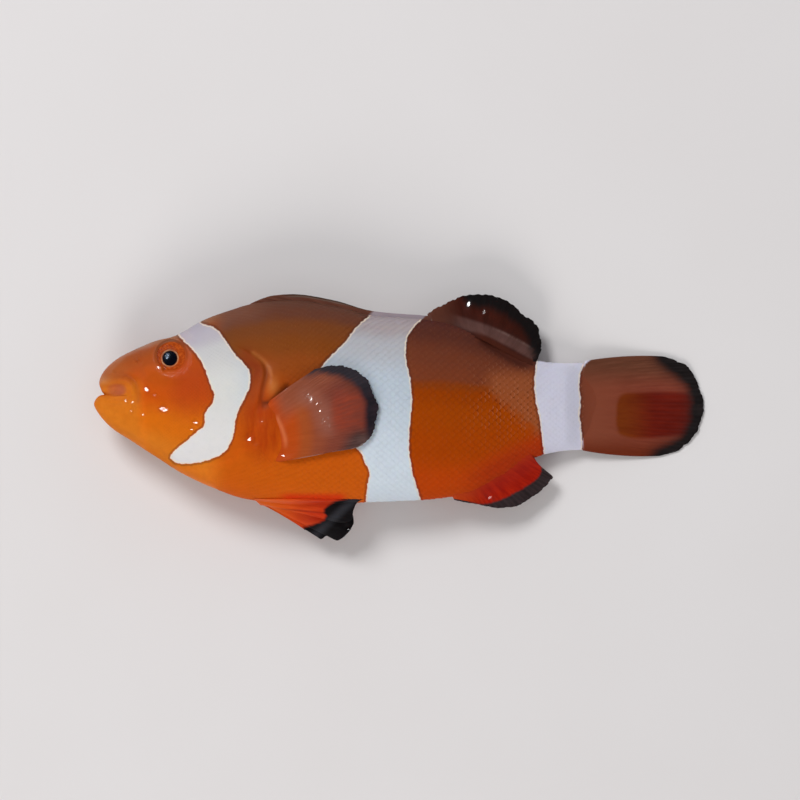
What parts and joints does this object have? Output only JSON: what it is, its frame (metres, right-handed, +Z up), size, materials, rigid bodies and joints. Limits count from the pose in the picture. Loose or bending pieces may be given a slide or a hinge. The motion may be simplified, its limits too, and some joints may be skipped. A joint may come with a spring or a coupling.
{
  "type": "clownfish",
  "caption": "Still, life-size clownfish lying on its right side: orange body with white bands, scales, spread breast fin and dark-edged fins.",
  "frame": {"origin": "on the ground under the middle of the bounding box", "axes": "+X from snout to tail, +Y from belly to back, +Z up, out of the fish's left side"},
  "size_m": [0.0903, 0.0364, 0.0162],
  "materials": {
    "skin": "wet scaled skin, orange with white bands",
    "fin": "wet rayed fin, brown and red with black margins",
    "eye": "clear wet eye, black pupil in an orange iris"
  },
  "bodies": {
    "root": {"head": "skin", "upper_jaw": "skin", "lower_jaw": "skin", "gill_cover_left": "skin", "gill_cover_right": "skin", "trunk": "skin", "tail_stalk": "skin", "tail_fin": "fin", "back_fin_spines": "fin", "back_fin_soft": "fin", "anal_fin": "fin", "breast_fin_left": "fin", "breast_fin_right": "fin", "belly_fin_left": "fin", "belly_fin_right": "fin", "eye_left": "eye", "eye_right": "eye"}
  },
  "joints": []
}
